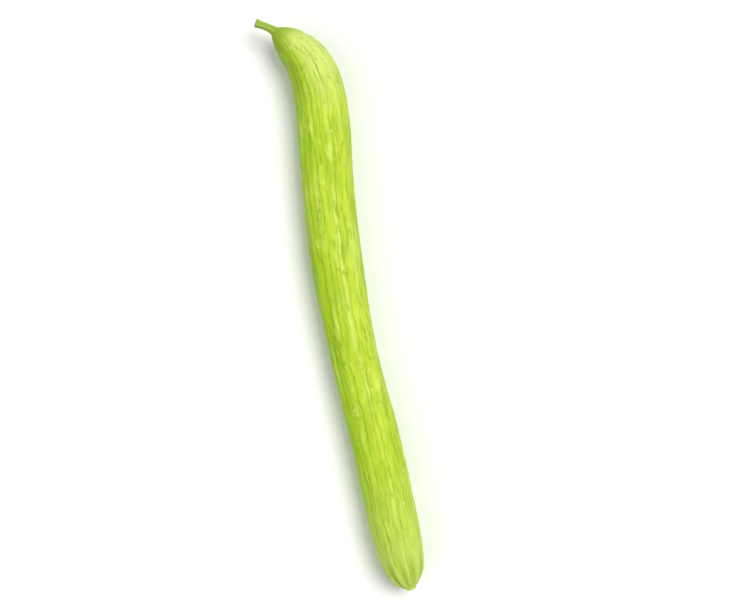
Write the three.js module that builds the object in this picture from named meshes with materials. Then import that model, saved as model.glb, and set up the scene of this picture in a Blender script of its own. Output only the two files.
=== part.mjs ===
// A snake cucumber as picked, lying on its side: one long ribbed fruit and the short ridged stem
// that it hung from. Millimetres, +Z up. +X runs along the fruit from the stem end to the blossom
// end, the plane z = 0 is the surface that it lies on, and the origin is in that plane, at the
// middle of the whole cucumber.
import * as THREE from "three";

// Sections along the fruit, from the stem end to the blossom end: the centre of each section
// (x, y, z) and its radius. The fruit hooks to one side at the stem end, is fullest behind the
// hook, has a slight waist past its middle and closes in a blunt point.
const fruitSections = [
  [-188, -10.5, 20.4, 4.6],
  [-177.5, -1.5, 18.7, 12.2],
  [-164, 5.6, 17.4, 15.4],
  [-143, 8.2, 17, 17.6],
  [-117, 6, 17.1, 17.8],
  [-77, 0.6, 16.8, 17.5],
  [-28, -3.8, 16.7, 17.4],
  [34, -5.6, 15.4, 16],
  [93, -3.2, 16.1, 16.7],
  [140, -2.8, 16.3, 16.9],
  [162, -2.6, 16.1, 16.5],
  [177, -2.2, 15.9, 15.2],
  [187, -1.7, 15.8, 12.6],
  [193, -1.1, 15.7, 9.2],
  [197, -0.5, 15.6, 5.8],
  [199, -0.2, 15.6, 3.4],
  [200.3, -0.1, 15.6, 2],
];

// Sections along the stem after the one that meets the fruit, out to the cut end.
const stemBaseRadius = 4.1;
const stemSections = [
  [-190.5, -12.7, 20.8, 3.1],
  [-193.2, -15.9, 21.4, 2.5],
  [-196.2, -20.3, 22.4, 2.5],
  [-198.1, -23.6, 23.4, 3],
];

const ribCount = 10; // lengthwise ribs round the fruit
const ribShare = 0.018; // rib height, as a share of the section's radius
const stemRidgeCount = 5; // a stalk of this family is five-sided
const stemRidgeShare = 0.09;
const gap = 0.3; // between the fruit's end face and the stem's

const stepsPerSection = 4; // rings between two sections of the fruit
const stepsPerRib = 4;
const stemStepsPerSection = 3;
const stepsPerRidge = 4;

const up = new THREE.Vector3(0, 0, 1);

// The smooth line through the centres of the sections.
function centreLine(sections) {
  const centres = sections.map(([x, y, z]) => new THREE.Vector3(x, y, z));
  return new THREE.CatmullRomCurve3(centres, false, "catmullrom");
}

// The radius at the same share of the way along as centreLine's, as a curve whose y is the radius.
function girth(sections) {
  return new THREE.SplineCurve(sections.map(([, , , radius], i) => new THREE.Vector2(i, radius)));
}

// A straight, closed body of revolution about Y. Its y is the share of the way along, 0 to 1, and
// it has a flat face at each end.
function straightBody(sections, stepsPerSpan, stepsAround) {
  const radii = girth(sections);
  const steps = (sections.length - 1) * stepsPerSpan;
  const profile = [new THREE.Vector2(0, 0)];
  for (let i = 0; i <= steps; i++) {
    profile.push(new THREE.Vector2(radii.getPoint(i / steps).y, i / steps));
  }
  profile.push(new THREE.Vector2(0, 1));
  return new THREE.LatheGeometry(profile, stepsAround);
}

// Carries a straight body along a line, raises ribs on it, and flattens what would go below the
// surface that it lies on.
function bendAlong(body, line, ribs, share) {
  const places = body.getAttribute("position");
  const radial = new THREE.Vector2();
  for (let i = 0; i < places.count; i++) {
    radial.set(places.getX(i), places.getZ(i));
    const along = places.getY(i);
    const ahead = line.getTangent(along);
    const side = new THREE.Vector3().crossVectors(ahead, up).normalize();
    const over = new THREE.Vector3().crossVectors(side, ahead);
    radial.multiplyScalar(1 + share * Math.cos(ribs * radial.angle()));
    const place = line.getPoint(along).addScaledVector(side, radial.x).addScaledVector(over, radial.y);
    places.setXYZ(i, place.x, place.y, Math.max(place.z, 0));
  }
  body.deleteAttribute("normal");
  body.deleteAttribute("uv");
  body.computeVertexNormals();
  return body;
}

function makeFruit() {
  const body = straightBody(fruitSections, stepsPerSection, ribCount * stepsPerRib);
  const skin = new THREE.MeshStandardMaterial({ color: 0xa6cc3a, roughness: 0.45, metalness: 0 });
  const fruit = new THREE.Mesh(bendAlong(body, centreLine(fruitSections), ribCount, ribShare), skin);
  fruit.name = "fruit";
  return fruit;
}

function makeStem() {
  const fruitLine = centreLine(fruitSections);
  const base = fruitLine.getPoint(0).addScaledVector(fruitLine.getTangent(0), -gap);
  const sections = [[base.x, base.y, base.z, stemBaseRadius], ...stemSections];
  const body = straightBody(sections, stemStepsPerSection, stemRidgeCount * stepsPerRidge);
  const stalk = new THREE.MeshStandardMaterial({ color: 0x8db52a, roughness: 0.55, metalness: 0 });
  const line = centreLine(sections);
  const stem = new THREE.Mesh(bendAlong(body, line, stemRidgeCount, stemRidgeShare), stalk);
  stem.name = "stem";
  return stem;
}

const cucumber = new THREE.Group();
cucumber.add(makeFruit(), makeStem());

export default cucumber;
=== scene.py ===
import math

import bpy
import numpy as np
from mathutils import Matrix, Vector


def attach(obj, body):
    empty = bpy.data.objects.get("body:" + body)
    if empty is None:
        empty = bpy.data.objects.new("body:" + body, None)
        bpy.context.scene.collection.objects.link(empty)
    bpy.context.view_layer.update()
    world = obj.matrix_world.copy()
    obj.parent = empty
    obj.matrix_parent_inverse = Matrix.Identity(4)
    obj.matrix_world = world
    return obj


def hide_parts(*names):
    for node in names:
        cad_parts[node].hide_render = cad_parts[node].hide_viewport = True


# A snake cucumber lying on a pale table, seen from straight above.
# Lengths in the dictionaries are millimetres and angles are degrees, unless a note says otherwise.
# Angles round a piece start at its top and grow towards +Y.

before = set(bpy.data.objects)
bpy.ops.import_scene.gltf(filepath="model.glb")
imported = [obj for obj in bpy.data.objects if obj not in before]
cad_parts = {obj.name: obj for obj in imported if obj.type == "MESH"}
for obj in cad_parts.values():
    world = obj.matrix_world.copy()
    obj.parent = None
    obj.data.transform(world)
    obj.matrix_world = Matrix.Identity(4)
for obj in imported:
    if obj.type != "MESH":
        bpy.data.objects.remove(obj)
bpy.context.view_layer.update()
mm = 0.001
print("frame loaded:", sorted(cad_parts))


def toLinear(hexColour):
    # sRGB hex to the linear colour that a shader works with: the standard sRGB curve, undone
    channels = np.array([int(hexColour[i:i + 2], 16) for i in (1, 3, 5)]) / 255
    linear = np.where(channels <= 0.04045, channels / 12.92, ((channels + 0.055) / 1.055) ** 2.4)
    return (*linear.tolist(), 1.0)


def through(points, places):
    # smooth curve through the points; place 0 is the first point, 1 the second and so on. Between
    # two points it is the cubic whose slope at each is half the step between its neighbours
    points = np.asarray(points, float)
    ends = 2 * points[0] - points[1], 2 * points[-1] - points[-2]
    padded = np.vstack([ends[0], points, ends[1]])
    first = np.clip(places.astype(int), 0, len(points) - 2)
    t = (places - first)[:, None]
    before, here, there, after = (padded[first + i] for i in range(4))
    leave = (there - before) / 2
    arrive = (after - here) / 2
    cubic = (2 * here - 2 * there + leave + arrive) * t ** 3
    return cubic + (3 * there - 3 * here - 2 * leave - arrive) * t ** 2 + leave * t + here


def walked(points):
    # how far along the line each point is: the running sum of the steps between them
    steps = np.linalg.norm(np.diff(points, axis=0), axis=1)
    return np.concatenate([[0], np.cumsum(steps)])


def cubicWeights(f):
    # a cubic B-spline's weights for the four lattice points round the share f of one cell
    return (
        (1 - f) ** 3 / 6,
        (3 * f ** 3 - 6 * f ** 2 + 4) / 6,
        (1 + 3 * f + 3 * f ** 2 - 3 * f ** 3) / 6,
        f ** 3 / 6,
    )


def waves(rng, along, around, length, steps):
    # smooth noise of about -1 to 1 over the skin: one random value for each length along and for
    # each of the steps round the fruit, joined by cubic B-splines both ways and scaled by 1.6
    rows = int(along.max() / length) + 6
    lattice = rng.uniform(-1, 1, (rows, steps))
    x = np.clip((along - along.min()) / length, 0, rows - 5) + 1
    y = (around / 360 * steps) % steps
    ix = x.astype(int)
    iy = y.astype(int)
    total = 0
    for i, weightAlong in enumerate(cubicWeights(x - ix)):
        for j, weightAround in enumerate(cubicWeights(y - iy)):
            total = total + weightAlong * weightAround * lattice[ix + i - 1, (iy + j - 1) % steps]
    return total * 1.6


def smoothStep(low, high, value):
    # 0 at low, 1 at high, and 3 t squared less 2 t cubed between them
    t = np.clip((value - low) / (high - low), 0, 1)
    return t * t * (3 - 2 * t)


def arcLength(degrees, radius):
    # the shorter way round: the angle brought to -180 .. 180, in radians, times the radius
    return np.radians((degrees + 180) % 360 - 180) * radius


def carried(shape):
    # Turns an outline round a path. The path runs through the sections' centres; the outline runs
    # through the start cap, the sections' radii and the end cap, and its rows stand evenly along
    # it. Gives, for each grid point, its centre, the direction out from it (the sine of its angle
    # to the side plus the cosine upwards), its distance along, its radius and its angle.
    path = [section[:3] for section in shape["sections"]]
    fine = through(path, np.linspace(0, len(path) - 1, shape["pathSteps"]))
    lengths = walked(fine)
    atSection = lengths[np.linspace(0, shape["pathSteps"] - 1, len(path)).astype(int)]
    profile = list(shape["startCap"])
    profile += [(place, section[3]) for place, section in zip(atSection, shape["sections"])]
    profile += [(lengths[-1] + past, radius) for past, radius in shape["endCap"]]
    outline = through(profile, np.linspace(0, len(profile) - 1, 2 * shape["pathSteps"]))
    places = walked(outline)
    even = np.linspace(0, places[-1], shape["rows"])
    along = np.interp(even, places, outline[:, 0])
    radius = np.interp(even, places, outline[:, 1])

    slope = np.gradient(fine, lengths, axis=0)
    middle = np.stack([np.interp(along, lengths, fine[:, i]) for i in range(3)], axis=1)
    ahead = np.stack([np.interp(along, lengths, slope[:, i]) for i in range(3)], axis=1)
    past = along - np.clip(along, 0, lengths[-1])  # a cap may stand past either end of the path
    middle = middle + ahead * past[:, None]
    side = np.cross((0, 0, 1), ahead)
    side /= np.linalg.norm(side, axis=1)[:, None]
    over = np.cross(ahead, side)
    over /= np.linalg.norm(over, axis=1)[:, None]
    angle = np.arange(shape["columns"]) * 360 / shape["columns"]
    turn = np.radians(angle)[None, :, None]
    out = np.sin(turn) * side[:, None] + np.cos(turn) * over[:, None]
    grid = np.ones((shape["rows"], shape["columns"]))
    return middle[:, None], out, along[:, None] * grid, radius[:, None] * grid, angle[None] * grid


def straightened(along, radius, angle):
    # the skin's place if its path were straight: along, then radius times the angle's sine, cosine
    turn = np.radians(angle)
    return np.stack([along, radius * np.sin(turn), radius * np.cos(turn)], axis=-1)


def skinMesh(name, points, strips, fields):
    # closed mesh from a grid of points (along, around, xyz) whose first and last rows shrink to
    # poles. The map "OFBake" cuts its length into equal strips and lays them one above the other
    rows, columns = points.shape[:2]
    ring = np.arange(columns)
    nextRing = (ring + 1) % columns
    start = (np.arange(rows - 3) * columns)[:, None]
    corners = [start + ring, start + nextRing, start + columns + nextRing, start + columns + ring]
    quads = np.stack(corners, axis=-1).reshape(-1, 4)
    body = points[1:-1].reshape(-1, 3)
    last = (rows - 3) * columns
    startPole = np.full(columns, len(body))
    startFan = np.stack([startPole, nextRing, ring], axis=-1)
    endFan = np.stack([startPole + 1, last + ring, last + nextRing], axis=-1)
    mesh = bpy.data.meshes.new(name)
    places = np.vstack([body, points[[0, -1]].mean(axis=1)])
    mesh.from_pydata(places.tolist(), [], quads.tolist() + startFan.tolist() + endFan.tolist())

    margin = 0.01  # left clear at each side of a strip
    inset = 0.002  # left clear round the whole map
    row = np.arange(rows - 3)[:, None] + np.zeros(columns)
    strip = np.floor(row / (rows - 3) * strips)
    stripRows = (rows - 3) / strips
    left = (row - strip * stripRows) / stripRows
    right = left + 1 / stripRows
    around = ring / columns * (1 - 2 * margin) + margin
    step = (1 - 2 * margin) / columns
    low = (strip + around) / strips
    high = (strip + around + step) / strips
    quadMap = np.stack([left, low, left, high, right, high, right, low], axis=-1).reshape(-1, 2)
    edge = np.zeros(columns)
    startMap = [edge, around + step / 2, edge, around + step, edge, around]
    endMap = [edge + 1, around + step / 2, edge + 1, around, edge + 1, around + step]
    startMap = np.stack(startMap, axis=-1).reshape(-1, 2) / (1, strips)
    endMap = (np.stack(endMap, axis=-1).reshape(-1, 2) + (0, strips - 1)) / (1, strips)
    bakeMap = np.vstack([quadMap, startMap, endMap]) * (1 - 2 * inset) + inset
    mesh.uv_layers.new(name="OFBake").data.foreach_set("uv", bakeMap.astype(np.float32).ravel())

    for key, values in fields.items():
        isVector = values.ndim == 3
        inner = values[1:-1].reshape(-1, *values.shape[2:])
        data = np.concatenate([inner, values[[0, -1]].mean(axis=1)]).astype(np.float32)
        attribute = mesh.attributes.new(key, "FLOAT_VECTOR" if isVector else "FLOAT", "POINT")
        attribute.data.foreach_set("vector" if isVector else "value", data.ravel())
    mesh.polygons.foreach_set("use_smooth", [True] * len(mesh.polygons))
    mesh.update()
    piece = bpy.data.objects.new(name, mesh)
    bpy.context.scene.collection.objects.link(piece)
    return piece


def addNode(tree, kind, settings=None, links=None):
    # adds a node; settings are its properties or its sockets' values, links are socket: output
    node = tree.nodes.new(kind)
    for key, value in (settings or {}).items():
        if hasattr(node, key):
            setattr(node, key, value)
    for key, value in (settings or {}).items():
        if not hasattr(node, key):
            next(s for s in node.inputs if s.name == key and s.enabled).default_value = value
    for key, output in (links or {}).items():
        tree.links.new(output, next(s for s in node.inputs if s.name == key and s.enabled))
    return node


def newMaterial(name):
    # a node material with its shader and output joined
    material = bpy.data.materials.new(name)
    material.use_nodes = True
    tree = material.node_tree
    tree.nodes.clear()
    shader = addNode(tree, "ShaderNodeBsdfPrincipled")
    addNode(tree, "ShaderNodeOutputMaterial", links={"Surface": shader.outputs[0]})
    return material, tree, shader


def layered(tree, base, layers, sources):
    # colours laid over a base colour. A layer is (colour, source, low, high, cover at low, cover at
    # high), and it covers what is under it by that share, which runs evenly from low to high
    under = None
    for colour, source, low, high, coverLow, coverHigh in layers:
        span = {"From Min": low, "From Max": high, "To Min": coverLow, "To Max": coverHigh}
        cover = addNode(tree, "ShaderNodeMapRange", span, {"Value": sources[source]}).outputs[0]
        mix = addNode(tree, "ShaderNodeMix", {"data_type": "RGBA", "B": toLinear(colour)},
                      {"Factor": cover})
        if under is None:
            mix.inputs[6].default_value = toLinear(base)
        else:
            tree.links.new(under, mix.inputs[6])
        under = mix.outputs[2]
    return under


fruitShape = {
    "rows": 558,
    "columns": 176,
    "pathSteps": 4000,
    "seed": 41,
    # centre (x, y, z) and radius of each section, from the stem end to the blossom end
    "sections": [
        (-188, -10.5, 20.4, 6),
        (-184, -7.1, 19.7, 9.2),
        (-177.3, -1.8, 18.7, 12.5),
        (-164, 5.6, 17.4, 15.7),
        (-143, 8.2, 17, 17.6),
        (-117, 6, 17.1, 17.8),
        (-77, 0.6, 16.8, 17.5),
        (-28, -3.8, 16.7, 17.4),
        (34, -5.6, 15.4, 16),
        (93, -3.2, 16.1, 16.7),
        (140, -2.8, 16.3, 16.9),
        (162, -2.6, 16.1, 16.5),
        (177, -2.2, 15.9, 15.2),
        (187, -1.7, 15.8, 12.6),
        (193, -1.1, 15.7, 9.2),
        (196.6, -0.5, 15.6, 6),
    ],
    # caps as (distance along, radius): the shoulder round the stem, and, from the last section on,
    # the scar that the flower leaves, a nub with a raised rim
    "startCap": [(-2.5, 0), (-2.7, 1.4), (-3, 2.6), (-2.95, 3.4), (-2.4, 4.15), (-1.3, 5)],
    "endCap": [
        (1.1, 4.75), (1.7, 3.9), (2.1, 3.5), (2.5, 3.35), (3, 3.3), (3.35, 3), (3.4, 2.4),
        (3.05, 1.5), (2.85, 0.7), (2.8, 0),
    ],
    "nubLength": (2.2, 1.2),  # before the end, where the nub starts and where it is all nub
    # the pattern fades where the radius falls from the second to the first of these
    "ribFade": (3, 11),
    "creaseFade": (5, 12),
    "neckLength": 26,  # the creases grow here, from neckCreases to their full depth
    "neckCreases": 0.4,
    "neckPaintedSpan": (75, 20),  # along, where the neck's painted shade and painted light end and where they are full
    # how much painted light falls there where the neck's painted shade and its painted light start
    # and where they are full
    "neckPaintedShade": (0.9, 0.5),
    "neckPaintedLight": (0.65, 1),
    # the whole pattern is pushed sideways by waves: length, steps round, size in degrees
    "sway": [(34, 5, 5.0), (12, 12, 2.4), (4, 30, 1.5)],
    "ribCount": 10,
    "ribHeight": 0.22,
    "ribStart": 11.5,  # angle of one rib's crest
    "ribWander": (45, 5, 5),
    "fluteHeight": 0.3,  # the ribs are higher at the blossom end
    "fluteEnds": (34, 12),  # before the end, where they start to rise and where they are full
    "fluteColour": (0.5, -0.7),  # the valleys' colour: a start, then so much for each rib height
    # long furrows on the upper side as (angle, depth), then those spread over the underside
    "furrows": [
        (-76, 0.18), (-62, 0.24), (-48, 0.27), (-34, 0.24), (-18, 0.32), (-4, 0.18), (5, 0.15),
        (19, 0.26), (33, 0.1), (50, 0.22), (60, 0.18), (73, 0.22), (86, 0.2),
    ],
    "underFurrows": {"count": 13, "from": 98, "to": 264, "depth": (0.16, 0.3)},
    "furrowLine": {"width": 0.55, "wander": 3.4, "gaps": 0.15},
    "furrowEnds": 0.35,  # share of their depth that furrows keep where the ribs have faded
    # raised lines, as (angle, height)
    "ridges": [(11.5, 0.3), (-26, 0.16), (-41, 0.14), (43, 0.16), (66, 0.2), (-55, 0.14)],
    "ridgeLine": {"width": 1.25, "wander": 2.4, "gaps": -0.25},
    # how furrows and ridges change along their length: wave lengths, then how much they change
    "lineWaves": {
        "drift": 22, "wobble": 7, "strength": 11, "grain": 2.4, "steps": 3,
        "wobbleShare": 0.28, "present": 0.3, "breaks": (-0.5, 0.35), "grainRange": (0.8, 0.35),
    },
    "dashes": {
        "count": 520, "length": (3, 14), "depth": (0.05, 0.17), "tilt": 9, "width": 0.55,
        "bend": 0.02, "clear": (8, 6),
    },
    # uneven skin: waves as (length, steps round), and their heights
    "lumps": (34, 6),
    "lumpHeight": 0.3,
    "ripples": (4.2, 22),
    "rippleHeight": 0.15,
    "pleats": (13, 46),
    "pleatHeight": 0.06,
    "nubPleats": 0.15,
    "nubPleatFade": (0.4, 2.2),  # radius where the nub's pleats start and where they are full
    # pale patches, as (length, steps round, size, twist in degrees for each millimetre along),
    # pushed along by a wave
    "patchPush": (12, 9, 7),
    "patches": [(17, 9, 1.0, 2), (7, 17, 0.5, 0)],
    # branching wrinkles along the fruit: length, steps round, height, how narrow
    "wrinkles": [(15, 15, 0.17, 0.2), (8, 24, 0.13, 0.24), (5, 38, 0.08, 0.28)],
    # raised arcs where the skin has puckered: distance along, angle, radius, opening's angle
    "puckers": [
        (103, 15, 2.4, 200), (61, -8, 2.0, 20), (152, -40, 2.2, 120), (236, 4, 2.6, 260),
        (246, 28, 2.2, 80), (268, -33, 2.4, 150), (289, -12, 2.2, 300), (318, 22, 2.4, 30),
    ],
    "puckerHeight": 0.3,
    # a pucker's length and its ring's radius, both as shares; its line's width; how far it opens
    "puckerLine": {"squeeze": 0.6, "ring": 0.6, "width": 0.5, "opening": (0.15, 0.7)},
    "underPuckers": {"count": 18, "angle": (80, 280), "radius": (1.6, 2.8), "clear": (20, 50)},
    # pale warts, partly the skin's own spine bases and partly painted glints, and dark pricks on the
    # upper side: distance along, angle, radius
    "warts": [
        (78, 17, 0.75), (242, 30, 0.6), (266, -31, 0.9), (120, 41, 0.45), (150, 9, 0.45),
        (300, 8, 0.5), (334, 34, 0.5),
    ],
    "pricks": [
        (183, -33, 0.5), (221, -46, 0.55), (124, -20, 0.45), (47, 46, 0.45), (253, 25, 0.6),
        (271, -34, 0.6), (92, -52, 0.4), (146, 16, 0.5),
    ],
    "wartHeight": 0.25,
    "prickHeight": 0.08,
    # more of both, half warts and half pricks; clear is what they keep clear of at each end
    "scattered": {"count": 46, "angle": (-180, 180), "radius": (0.35, 0.6), "clear": (14, 40)},
    # how pale the skin is: a start, then so much for each height in millimetres
    "crest": {
        "start": 0.3, "ribs": 0.1, "ridges": 1.3, "furrows": -0.5, "wrinkles": 0.8,
        "patches": 0.26, "ripples": 0.1,
    },
    "deepFurrow": 0.42,  # a groove this deep has its full colour
    "paintedLightAngle": 34,  # the middle of the paler belt of painted light, on the side where the key light falls
    "paintedLightEdge": 8,  # how unevenly the painted light ends
}


def longLines(rng, along, angle, radius, lines, line):
    # lines that follow the fruit, each at its own angle plus a slow drift and a quicker wobble. A
    # line's height is its own times a strength that comes and goes along it, times a fine grain,
    # times a bell curve of the distance across it over its width; the heights are added up
    wave = fruitShape["lineWaves"]
    total = np.zeros_like(along)
    steps = wave["steps"]
    grainMiddle, grainSize = wave["grainRange"]
    for lineAngle, height in lines:
        there = np.full_like(angle, lineAngle)
        drift = waves(rng, along, there, wave["drift"], steps)
        drift = drift + wave["wobbleShare"] * waves(rng, along, there, wave["wobble"], steps)
        across = arcLength(angle - lineAngle - drift * line["wander"], radius)
        strength = waves(rng, along, there, wave["strength"], steps)
        strength = strength + wave["present"] - line["gaps"]
        grain = grainMiddle + grainSize * waves(rng, along, there, wave["grain"], steps)
        bell = np.exp(-(across / line["width"]) ** 2)
        total += height * smoothStep(*wave["breaks"], strength) * grain * bell
    return total


def shortLines(rng, along, angle, radius, dashes):
    # short creases scattered over the skin, each turned and bent a little. A crease's depth is 1
    # less the square of the share of the way to its end, times a bell curve across it
    count = dashes["count"]
    clearStart, clearEnd = dashes["clear"]
    total = np.zeros_like(along)
    middles = rng.uniform(clearStart, along.max() - clearEnd, count)
    turns = rng.uniform(-180, 180, count)
    lengths = rng.uniform(*dashes["length"], count)
    depths = rng.uniform(*dashes["depth"], count)
    slopes = rng.normal(0, dashes["tilt"], count)
    for middle, turn, length, depth, slope in zip(middles, turns, lengths, depths, slopes):
        near = np.abs(along[:, 0] - middle) < length
        ahead = along[near] - middle
        across = arcLength(angle[near] - turn, radius[near])
        across = across - ahead * math.tan(math.radians(slope))
        across = across - dashes["bend"] * ahead ** 2 * slope / dashes["tilt"]
        taper = np.clip(1 - (ahead / length * 2) ** 2, 0, 1)
        total[near] += depth * taper * np.exp(-(across / dashes["width"]) ** 2)
    return total


def spots(along, angle, radius, marks):
    # dots: a bell curve of the distance from each mark over the mark's radius
    total = np.zeros_like(along)
    for place, turn, size in marks:
        near = np.abs(along[:, 0] - place) < 4 * size
        apart = np.hypot(along[near] - place, arcLength(angle[near] - turn, radius[near]))
        total[near] += np.exp(-(apart / size) ** 2)
    return total


def arcs(along, angle, radius, puckers, line):
    # open rings, longer than wide: a bell curve of the distance from the ring's line, faded towards
    # its opening by half of 1 less the cosine of the angle from it
    total = np.zeros_like(along)
    for place, turn, size, opening in puckers:
        near = np.abs(along[:, 0] - place) < 3 * size
        ahead = along[near] - place
        across = arcLength(angle[near] - turn, radius[near])
        apart = np.hypot(ahead * line["squeeze"], across) - size * line["ring"]
        closed = 0.5 - 0.5 * np.cos(np.arctan2(across, ahead) - math.radians(opening))
        total[near] += np.exp(-(apart / line["width"]) ** 2) * smoothStep(*line["opening"], closed)
    return total


def scattered(rng, end, more):
    # random distances along, angles and radii, evenly drawn and clear of both ends
    clearStart, clearEnd = more["clear"]
    places = rng.uniform(clearStart, end - clearEnd, more["count"])
    turns = rng.uniform(*more["angle"], more["count"])
    return places, turns, rng.uniform(*more["radius"], more["count"])


def makeFruit():
    # the skin stands out from the carried surface by the sum of its ribs, ridges, lumps, wrinkles,
    # warts and puckers, less its grooves; what would go below the table is flattened on it
    shape = fruitShape
    rng = np.random.default_rng(shape["seed"])
    middle, out, along, radius, trueAngle = carried(shape)
    end = along.max()
    nubStart, nubFull = shape["nubLength"]
    onNub = smoothStep(end - nubStart, end - nubFull, along)
    fade = smoothStep(*shape["ribFade"], radius)

    angle = trueAngle
    for length, steps, size in shape["sway"]:
        angle = angle + size * waves(rng, along, trueAngle, length, steps)
    length, steps, size = shape["ribWander"]
    wander = size * waves(rng, along, trueAngle, length, steps)
    ribs = np.cos(np.radians(shape["ribCount"] * (angle - shape["ribStart"] - wander))) * fade

    under = shape["underFurrows"]
    underAngles = np.linspace(under["from"], under["to"], under["count"])
    underDepths = rng.uniform(*under["depth"], under["count"])
    lines = shape["furrows"] + list(zip(underAngles, underDepths))
    furrows = longLines(rng, along, angle, radius, lines, shape["furrowLine"])
    ridges = longLines(rng, along, angle, radius, shape["ridges"], shape["ridgeLine"])
    creases = shortLines(rng, along, angle, radius, shape["dashes"])
    kept = shape["neckCreases"]
    creases = creases * (kept + (1 - kept) * smoothStep(0, shape["neckLength"], along))
    creases = creases * smoothStep(*shape["creaseFade"], radius)
    kept = shape["furrowEnds"]
    grooves = (furrows * (kept + (1 - kept) * fade) + creases) * (1 - onNub)

    lumps = waves(rng, along, angle, *shape["lumps"])
    ripples = waves(rng, along, angle, *shape["ripples"])
    pleats = waves(rng, along, angle, *shape["pleats"])
    length, steps, size = shape["patchPush"]
    pushed = along + size * waves(rng, along, angle, length, steps)
    patches = 0
    for length, steps, size, twist in shape["patches"]:
        patches = patches + size * waves(rng, pushed, angle + twist * pushed, length, steps)
    wrinkles = 0
    for length, steps, size, narrow in shape["wrinkles"]:
        # a ridge wherever the wave crosses zero, so the ridges wander, part and meet
        crossing = waves(rng, along, angle, length, steps)
        wrinkles = wrinkles + size * np.exp(-(crossing / narrow) ** 2)

    marks = list(zip(*scattered(rng, end, shape["scattered"])))
    warts = spots(along, trueAngle, radius, shape["warts"] + marks[::2])
    pricks = spots(along, trueAngle, radius, shape["pricks"] + marks[1::2])
    rings = scattered(rng, end, shape["underPuckers"])
    openings = rng.uniform(0, 360, shape["underPuckers"]["count"])
    puckers = shape["puckers"] + list(zip(*rings, openings))
    puckers = shape["puckerHeight"] * arcs(along, angle, radius, puckers, shape["puckerLine"])

    uneven = shape["lumpHeight"] * lumps + shape["rippleHeight"] * ripples
    uneven = uneven + shape["pleatHeight"] * pleats + wrinkles
    fluteStart, fluteFull = shape["fluteEnds"]
    atTip = smoothStep(end - fluteStart, end - fluteFull, along) * (1 - onNub)
    ribHeight = shape["ribHeight"] + shape["fluteHeight"] * atTip
    height = (ribHeight * ribs + uneven * fade) * (1 - onNub)
    height = height + ridges * fade - grooves + puckers
    height = height + shape["wartHeight"] * warts + shape["prickHeight"] * pricks
    atRim = onNub * smoothStep(*shape["nubPleatFade"], radius)
    height = height + shape["nubPleats"] * pleats * atRim
    place = middle + out * (radius + np.minimum(height, radius))[..., None]
    place[..., 2] = np.maximum(place[..., 2], 0)

    tone = shape["crest"]
    crest = tone["start"] + tone["ribs"] * ribs + tone["ridges"] * (ridges + puckers)
    crest = crest + tone["furrows"] * furrows + tone["wrinkles"] * wrinkles
    crest = crest + tone["patches"] * patches + tone["ripples"] * ripples
    # painted light: the skin is paler and yellower in a belt on the upper +Y side, where the key
    # light falls and its sheen lies
    fromPaintedLight = trueAngle + shape["paintedLightEdge"] * lumps - shape["paintedLightAngle"]
    paintedLitSide = 0.5 + 0.5 * np.cos(np.radians(fromPaintedLight))
    onNeck = smoothStep(*shape["neckPaintedSpan"], along)
    valleyStart, valleySize = shape["fluteColour"]
    fields = {
        "furrow": np.clip(grooves / shape["deepFurrow"], 0, 1),
        "crest": np.clip(crest, 0, 1),
        "wartAndGlint": np.clip(warts, 0, 1),
        "prick": np.clip(pricks, 0, 1),
        "share": along / end,
        "paintedLitSide": paintedLitSide,
        # painted shade on the neck's side away from the key light, and painted light on the side
        # towards it
        "neckPaintedShade": onNeck * smoothStep(*shape["neckPaintedShade"], paintedLitSide),
        "neckPaintedLight": onNeck * smoothStep(*shape["neckPaintedLight"], paintedLitSide),
        "flute": np.clip(valleyStart + valleySize * ribs, 0, 1) * atTip,
        "nub": onNub,
        "straight": straightened(along, radius, angle),
    }
    piece = skinMesh("fruitSkin", place * mm, 2, fields)
    piece.data.materials.append(cucumberSkin())
    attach(piece, "root")
    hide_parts("fruit")
    print("fruit made:", len(piece.data.polygons), "faces")


# Skin of a cucumber: living plant tissue under a thin waxy cuticle. It gives a soft broad gloss, a
# little light carried under the surface, pale raised lines and deeper green in the furrows.
skinFinish = {
    "base": "#A0CC08",
    # colour, what it follows, from, to, how much it covers at each
    "layers": [
        # painted light: the paler, yellower belt where the key light falls
        ("#CADF3E", "paintedLitSide", 0.4, 1, 0, 1),
        ("#D7E968", "crest", 0.4, 0.95, 0, 0.85),
        ("#98C010", "streaks", 0.5, 0.75, 0, 0.45),
        ("#98C010", "mottle", 0.45, 0.68, 0, 0.6),
        ("#98B430", "neckPaintedShade", 0, 1, 0, 0.75),  # painted shade on the neck's inner side, in the hook, away from the key light
        ("#DCEA86", "neckPaintedLight", 0, 1, 0, 0.7),  # painted light on the neck's outer side, towards the key light
        ("#8DAE26", "share", 0, 0.03, 0.9, 0),  # where the stem joins it
        ("#7CA408", "crack", 0, 1, 0, 0.6),
        ("#C4DA68", "share", 0.78, 0.98, 0, 0.85),  # the blossom end
        ("#A0BE34", "flute", 0, 1, 0, 0.65),  # between the ribs there
        ("#7CA408", "furrow", 0, 1, 0, 1),
        # pale warts: partly the skin's own spine bases, partly painted glints
        ("#DCEC96", "wartAndGlint", 0, 1, 0, 1),
        ("#6E8C1E", "prick", 0, 1, 0, 1),
        ("#CEE068", "nub", 0, 1, 0, 1),
    ],
    # patterns in cells drawn out along the fruit: length, width, height
    "streakCell": (25, 1.6, 1.6),
    "mottleCell": (22, 8, 8),
    "crackCell": (19, 1.8, 1.8),
    "crackPush": 0.22,  # how far noise pushes the cracks about, as a share
    "crackWidth": 0.08,  # as a share of a cell
    "crackGaps": (0.43, 0.58),
    "crackDepth": 1.6,  # as a multiple of the relief
    "relief": 0.06,
    "gloss": (0.34, 0.5),  # roughness in the streaks' valleys and on their crests
    "ior": 1.42,
    "specular": 0.22,
    "scatter": 0.12,
    "scatterColour": (0.6, 1.0, 0.25),
    "scatterDepth": 2.5,
}


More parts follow.
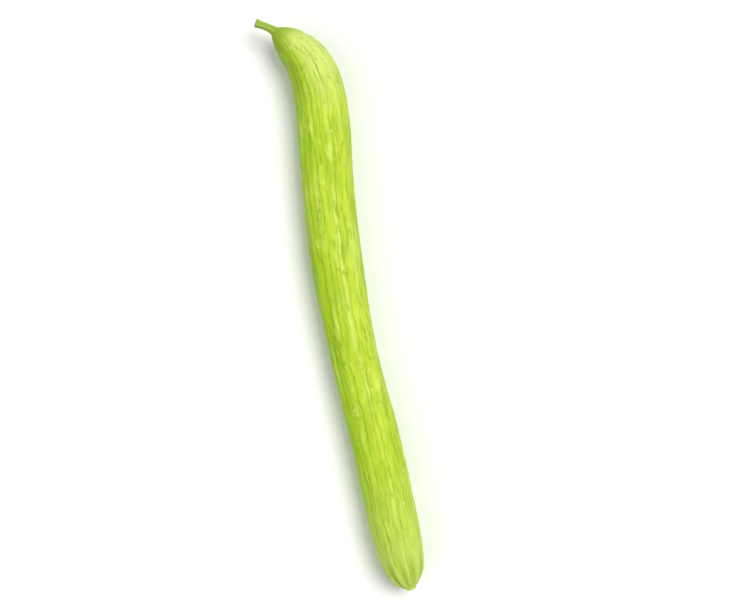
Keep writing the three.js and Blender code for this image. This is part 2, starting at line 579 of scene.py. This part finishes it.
def cucumberSkin():
    # colour, gloss and a fine relief from the mesh's fields, noise streaks and patches, and thin
    # cracks, which are the edges between drawn-out cells, pushed about and broken up by noise
    look = skinFinish
    material, tree, shader = newMaterial("cucumberSkin")
    sources = {}
    fields = (
        "furrow", "crest", "wartAndGlint", "prick", "share", "paintedLitSide", "neckPaintedShade", "neckPaintedLight", "flute", "nub",
        "straight",
    )
    for name in fields:
        field = addNode(tree, "ShaderNodeAttribute", {"attribute_name": name})
        sources[name] = field.outputs["Vector" if name == "straight" else "Fac"]
    cells = {}
    for name in ("streakCell", "mottleCell", "crackCell"):
        scale = tuple(1 / size for size in look[name])
        cells[name] = addNode(tree, "ShaderNodeMapping", {"Scale": scale},
                              {"Vector": sources["straight"]}).outputs[0]
    sources["streaks"] = addNode(tree, "ShaderNodeTexNoise",
                                 {"Scale": 1.0, "Detail": 3.0, "Distortion": 0.4},
                                 {"Vector": cells["streakCell"]}).outputs["Fac"]
    sources["mottle"] = addNode(tree, "ShaderNodeTexNoise",
                                {"Scale": 1.0, "Detail": 2.5, "Distortion": 0.6},
                                {"Vector": cells["mottleCell"]}).outputs["Fac"]
    push = addNode(tree, "ShaderNodeTexNoise", {"Scale": 0.9, "Detail": 3.0},
                   {"Vector": cells["crackCell"]}).outputs["Color"]
    pushed = addNode(tree, "ShaderNodeMix", {"data_type": "VECTOR", "Factor": look["crackPush"]},
                     {"A": cells["crackCell"], "B": push}).outputs[1]
    edge = addNode(tree, "ShaderNodeTexVoronoi", {"feature": "DISTANCE_TO_EDGE", "Scale": 1.0},
                   {"Vector": pushed}).outputs["Distance"]
    line = addNode(tree, "ShaderNodeMapRange",
                   {"From Max": look["crackWidth"], "To Min": 1.0, "To Max": 0.0},
                   {"Value": edge}).outputs[0]
    gaps = addNode(tree, "ShaderNodeTexNoise", {"Scale": 0.6, "Detail": 2.0},
                   {"Vector": pushed}).outputs["Fac"]
    low, high = look["crackGaps"]
    kept = addNode(tree, "ShaderNodeMapRange", {"From Min": low, "From Max": high},
                   {"Value": gaps}).outputs[0]
    crack = addNode(tree, "ShaderNodeMix", {"A": 0.0}, {"Factor": kept, "B": line}).outputs[0]
    sources["crack"] = crack

    colour = layered(tree, look["base"], look["layers"], sources)
    tree.links.new(colour, shader.inputs["Base Color"])
    smooth, rough = look["gloss"]
    gloss = addNode(tree, "ShaderNodeMapRange",
                    {"From Min": 0.3, "From Max": 0.7, "To Min": smooth, "To Max": rough},
                    {"Value": sources["streaks"]}).outputs[0]
    tree.links.new(gloss, shader.inputs["Roughness"])
    height = addNode(tree, "ShaderNodeMix", {"B": -look["crackDepth"]},
                     {"Factor": crack, "A": sources["streaks"]}).outputs[0]
    relief = addNode(tree, "ShaderNodeBump", {"Strength": 1.0, "Distance": look["relief"] * mm},
                     {"Height": height}).outputs[0]
    tree.links.new(relief, shader.inputs["Normal"])
    shader.inputs["IOR"].default_value = look["ior"]
    shader.inputs["Specular IOR Level"].default_value = look["specular"]
    shader.inputs["Subsurface Weight"].default_value = look["scatter"]
    shader.inputs["Subsurface Radius"].default_value = look["scatterColour"]
    shader.inputs["Subsurface Scale"].default_value = look["scatterDepth"] * mm
    return material


stemShape = {
    "rows": 90,
    "columns": 80,
    "pathSteps": 4000,
    "seed": 7,
    # centre (x, y, z) and radius of each section, from inside the neck to the cut end
    "sections": [
        (-188.6, -11, 20.5, 3.5),
        (-190.4, -12.7, 20.8, 3.2),
        (-192, -14.4, 21.1, 2.75),
        (-194.2, -17.2, 21.7, 2.5),
        (-196.4, -20.8, 22.6, 2.55),
        (-197.9, -23.4, 23.3, 2.85),
    ],
    # caps as (distance along, radius), the second from the last section on: the cut face, a hollow
    # with a rounded rim
    "startCap": [(0, 0), (0, 2.4)],
    "endCap": [(0.35, 2.8), (0.45, 2.5), (0.3, 2.1), (0.15, 1.4), (0.05, 0.7), (0, 0)],
    "cutEdge": (0.7, 0.25),  # before the end, where the cut starts and where it is all cut
    "ridgeCount": 5,
    "ridgeHeight": 0.28,
    "ridgeTwist": 2.2,  # degrees for each millimetre along
    "fibres": (5, 16, 0.12),  # length, steps round, height
}


def makeStem():
    # the stalk stands out from the carried surface by five twisted ridges, a cosine round it, and
    # by uneven fibres; both fade towards the middle of its end faces
    shape = stemShape
    rng = np.random.default_rng(shape["seed"])
    middle, out, along, radius, angle = carried(shape)
    end = along.max()
    ridges = np.cos(np.radians(shape["ridgeCount"] * (angle - shape["ridgeTwist"] * along)))
    length, steps, size = shape["fibres"]
    fibres = size * waves(rng, along, angle, length, steps)
    height = (shape["ridgeHeight"] * ridges + fibres) * smoothStep(0.2, 2.2, radius)
    place = middle + out * (radius + height)[..., None]
    cutStart, cutFull = shape["cutEdge"]
    fields = {
        "ridge": 0.5 + 0.5 * ridges,
        "cut": smoothStep(end - cutStart, end - cutFull, along),
        "straight": straightened(along, radius, angle),
    }
    piece = skinMesh("stemStalk", place * mm, 1, fields)
    piece.data.materials.append(stemBark())
    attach(piece, "root")
    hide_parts("stem")
    print("stem made:", len(piece.data.polygons), "faces")


# Stem of a cucumber: a green five-sided stalk of tough fibres, matt, with a drier cut end.
stemFinish = {
    "base": "#88A81E",
    # colour, what it follows, from, to, how much it covers at each
    "layers": [
        ("#A2BF34", "ridge", 0, 1, 0, 1),
        ("#88A81E", "fibres", 0.45, 0.7, 0, 0.5),
        ("#9CA84C", "cut", 0, 1, 0, 1),
    ],
    "fibreCell": (14, 0.85, 0.85),
    "relief": 0.12,
    "roughness": 0.55,
    "scatter": 0.12,
    "scatterColour": (0.6, 1.0, 0.25),
    "scatterDepth": 1.5,
}


def stemBark():
    # colour and relief from the mesh's fields and from noise drawn out along the stalk as fibres
    look = stemFinish
    material, tree, shader = newMaterial("cucumberStem")
    sources = {}
    for name in ("ridge", "cut", "straight"):
        field = addNode(tree, "ShaderNodeAttribute", {"attribute_name": name})
        sources[name] = field.outputs["Vector" if name == "straight" else "Fac"]
    scale = tuple(1 / size for size in look["fibreCell"])
    drawn = addNode(tree, "ShaderNodeMapping", {"Scale": scale},
                    {"Vector": sources["straight"]}).outputs[0]
    fibres = addNode(tree, "ShaderNodeTexNoise", {"Scale": 1.0, "Detail": 2.0},
                     {"Vector": drawn}).outputs["Fac"]
    sources["fibres"] = fibres
    colour = layered(tree, look["base"], look["layers"], sources)
    tree.links.new(colour, shader.inputs["Base Color"])
    relief = addNode(tree, "ShaderNodeBump", {"Strength": 1.0, "Distance": look["relief"] * mm},
                     {"Height": fibres}).outputs[0]
    tree.links.new(relief, shader.inputs["Normal"])
    shader.inputs["Roughness"].default_value = look["roughness"]
    shader.inputs["Subsurface Weight"].default_value = look["scatter"]
    shader.inputs["Subsurface Radius"].default_value = look["scatterColour"]
    shader.inputs["Subsurface Scale"].default_value = look["scatterDepth"] * mm
    return material


studio = {
    "tableColour": "#FAFAF8",
    "tableRoughness": 0.8,
    "tableSize": 60000,
    "viewTurn": 12,  # how far the fruit's length leans from the picture's vertical
    "viewMiddle": (1.7, 14.6, 17),  # the point at the picture's middle
    "distance": 1196,
    "lens": 85,
    "sensor": 36,
    "room": 0.24,  # how brightly the room lights the fruit
    "backdrop": 1.0,  # how bright the room looks behind the table
    # broad lights, far off: the direction they come from as (right, up, towards the camera) in
    # the picture, how wide they look in degrees, and their strength
    "lights": {
        "key": {"from": (0.42, 0.3, 1.0), "width": 36, "strength": 2.45},
        "fill": {"from": (-0.8, -0.4, 1.1), "width": 50, "strength": 0.85},
    },
}


def makeStudio():
    # a wide pale table, two broad lights and a white room; the camera looks straight down. The
    # picture's right is +Y turned by viewTurn towards +X, and its up is a quarter turn from that
    scene = bpy.context.scene
    turn = math.radians(studio["viewTurn"])
    right = np.array([math.sin(turn), math.cos(turn), 0])
    up = np.array([-math.cos(turn), math.sin(turn), 0])

    half = studio["tableSize"] / 2 * mm
    mesh = bpy.data.meshes.new("table")
    corners = [(-half, -half, 0), (half, -half, 0), (half, half, 0), (-half, half, 0)]
    mesh.from_pydata(corners, [], [(0, 1, 2, 3)])
    table = bpy.data.objects.new("table", mesh)
    scene.collection.objects.link(table)
    material, tree, shader = newMaterial("paleTable")
    shader.inputs["Base Color"].default_value = toLinear(studio["tableColour"])
    shader.inputs["Roughness"].default_value = studio["tableRoughness"]
    mesh.materials.append(material)

    for name, settings in studio["lights"].items():
        across, upward, towards = settings["from"]
        data = bpy.data.lights.new(name, "SUN")
        data.angle = math.radians(settings["width"])
        data.energy = settings["strength"]
        light = bpy.data.objects.new(name, data)
        source = Vector((right * across + up * upward + (0, 0, towards)).tolist())
        light.rotation_euler = source.to_track_quat("Z", "Y").to_euler()
        scene.collection.objects.link(light)

    world = bpy.data.worlds.new("studioRoom")
    world.use_nodes = True
    tree = world.node_tree
    tree.nodes.clear()
    seen = addNode(tree, "ShaderNodeLightPath").outputs["Is Camera Ray"]
    strength = addNode(tree, "ShaderNodeMapRange",
                       {"To Min": studio["room"], "To Max": studio["backdrop"]},
                       {"Value": seen}).outputs[0]
    room = addNode(tree, "ShaderNodeBackground", {"Color": (1, 1, 1, 1)}, {"Strength": strength})
    addNode(tree, "ShaderNodeOutputWorld", links={"Surface": room.outputs[0]})
    scene.world = world
    scene.view_settings.view_transform = "Standard"

    data = bpy.data.cameras.new("camera")
    data.lens = studio["lens"]
    data.sensor_width = studio["sensor"]
    camera = bpy.data.objects.new("camera", data)
    camera.location = (np.array(studio["viewMiddle"]) + (0, 0, studio["distance"])) * mm
    camera.rotation_euler = (0, 0, math.radians(90 - studio["viewTurn"]))
    scene.collection.objects.link(camera)
    scene.camera = camera
    print("studio made")


makeStudio()
makeFruit()
makeStem()
